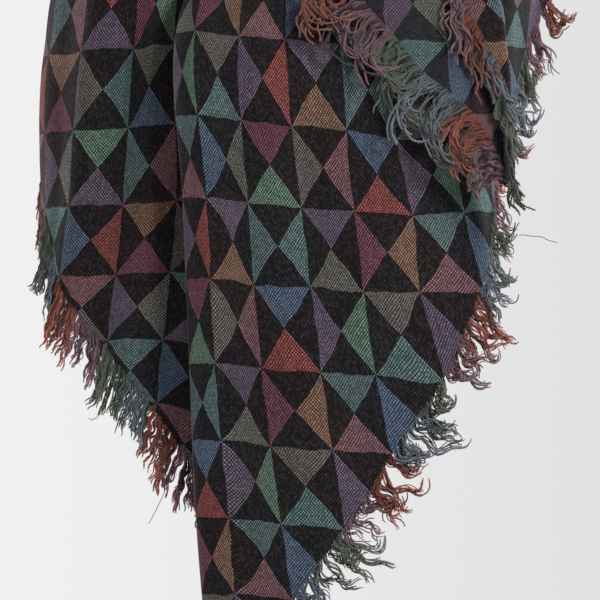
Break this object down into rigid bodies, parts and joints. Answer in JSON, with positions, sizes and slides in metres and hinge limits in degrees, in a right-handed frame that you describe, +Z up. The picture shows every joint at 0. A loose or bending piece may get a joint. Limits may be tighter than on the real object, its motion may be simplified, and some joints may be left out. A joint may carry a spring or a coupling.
{
  "type": "neck scarf",
  "caption": "Worn square woven neck scarf, wrapped at the neck, with a fringed corner point in front, a deep pleat at its left and a side corner over it.",
  "frame": {"origin": "middle of the neck opening, on the neck's axis", "axes": "+Z up along the neck, -Y to the front, where the point hangs, +X to the right of a viewer who faces the front"},
  "size_m": [0.4149, 0.3153, 0.7254],
  "materials": {
    "cloth": "soft matte plain weave of dark and muted coloured yarns, in half-square triangles",
    "cloth_wrong_side": "the same cloth's paler and softer wrong side",
    "fringe": "ravelled crimped yarn in bands of rust, mauve, green and blue-grey"
  },
  "bodies": {
    "root": {"neck_wrap": "cloth", "front_drape": "cloth", "tail_end": "cloth_wrong_side", "fringe_left_hem": "fringe", "fringe_right_hem": "fringe", "fringe_tail_outer": "fringe", "fringe_tail_turned": "fringe"}
  },
  "joints": []
}
